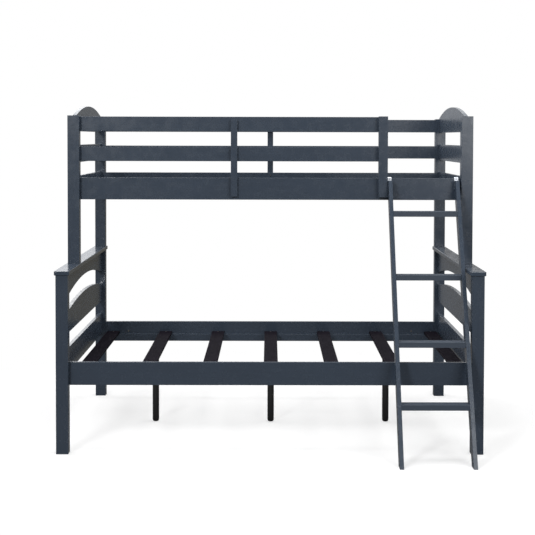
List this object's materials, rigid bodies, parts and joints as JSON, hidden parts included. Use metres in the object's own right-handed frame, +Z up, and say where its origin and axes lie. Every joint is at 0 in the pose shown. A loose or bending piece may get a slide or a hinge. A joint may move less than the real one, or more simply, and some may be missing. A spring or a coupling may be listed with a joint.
{
  "type": "bunk bed with ladder",
  "caption": "Painted wooden bunk bed: a narrow upper bed with guard rails stands over a wider lower bed, with arched ends, slatted bases and a leaning hook-on ladder.",
  "frame": {"origin": "on the floor, at the centre of the whole footprint, ladder included", "axes": "+X along the beds, +Z up, the ladder leans on the -Y side and the beds are flush with each other on the +Y side"},
  "size_m": [2.014, 1.795, 1.645],
  "materials": {
    "painted_wood": "satin slate-blue paint",
    "slat_wood": "dark matt stain",
    "support_leg": "satin black paint",
    "hook_steel": "bright zinc plate"
  },
  "bodies": {
    "bed": {"back_guard_slat": "painted_wood", "back_lower_guard_rail": "painted_wood", "back_upper_guard_rail": "painted_wood", "front_guard_slat": "painted_wood", "front_lower_guard_rail": "painted_wood", "front_upper_guard_rail": "painted_wood", "guard_post": "painted_wood", "left_cap": "painted_wood", "left_support_leg": "support_leg", "lower_back_ledger": "painted_wood", "lower_back_left_post": "painted_wood", "lower_back_right_post": "painted_wood", "lower_back_side_rail": "painted_wood", "lower_front_ledger": "painted_wood", "lower_front_left_post": "painted_wood", "lower_front_right_post": "painted_wood", "lower_front_side_rail": "painted_wood", "lower_left_arch_rail": "painted_wood", "lower_left_bottom_rail": "painted_wood", "lower_left_middle_rail": "painted_wood", "lower_right_arch_rail": "painted_wood", "lower_right_bottom_rail": "painted_wood", "lower_right_middle_rail": "painted_wood", "lower_slat_1": "slat_wood", "lower_slat_2": "slat_wood", "lower_slat_3": "slat_wood", "lower_slat_4": "slat_wood", "lower_slat_5": "slat_wood", "lower_slat_6": "slat_wood", "lower_slat_7": "slat_wood", "middle_support_leg": "support_leg", "right_cap": "painted_wood", "right_support_leg": "support_leg", "upper_back_left_post": "painted_wood", "upper_back_right_post": "painted_wood", "upper_back_side_rail": "painted_wood", "upper_front_left_post": "painted_wood", "upper_front_right_post": "painted_wood", "upper_front_side_rail": "painted_wood", "upper_left_arch_rail": "painted_wood", "upper_left_bottom_rail": "painted_wood", "upper_left_middle_rail": "painted_wood", "upper_right_arch_rail": "painted_wood", "upper_right_bottom_rail": "painted_wood", "upper_right_middle_rail": "painted_wood", "upper_slat_1": "slat_wood", "upper_slat_2": "slat_wood", "upper_slat_3": "slat_wood", "upper_slat_4": "slat_wood", "upper_slat_5": "slat_wood", "upper_slat_6": "slat_wood", "upper_slat_7": "slat_wood"},
    "ladder": {"ladder_left_hook": "hook_steel", "ladder_left_stile": "painted_wood", "ladder_right_hook": "hook_steel", "ladder_right_stile": "painted_wood", "rung_1": "painted_wood", "rung_2": "painted_wood", "rung_3": "painted_wood", "rung_4": "painted_wood"}
  },
  "joints": [
    {"name": "ladder_lift", "type": "slide", "parent": "bed", "child": "ladder", "axis": [0, 0, 1], "range_m": [0, 0.12]}
  ]
}
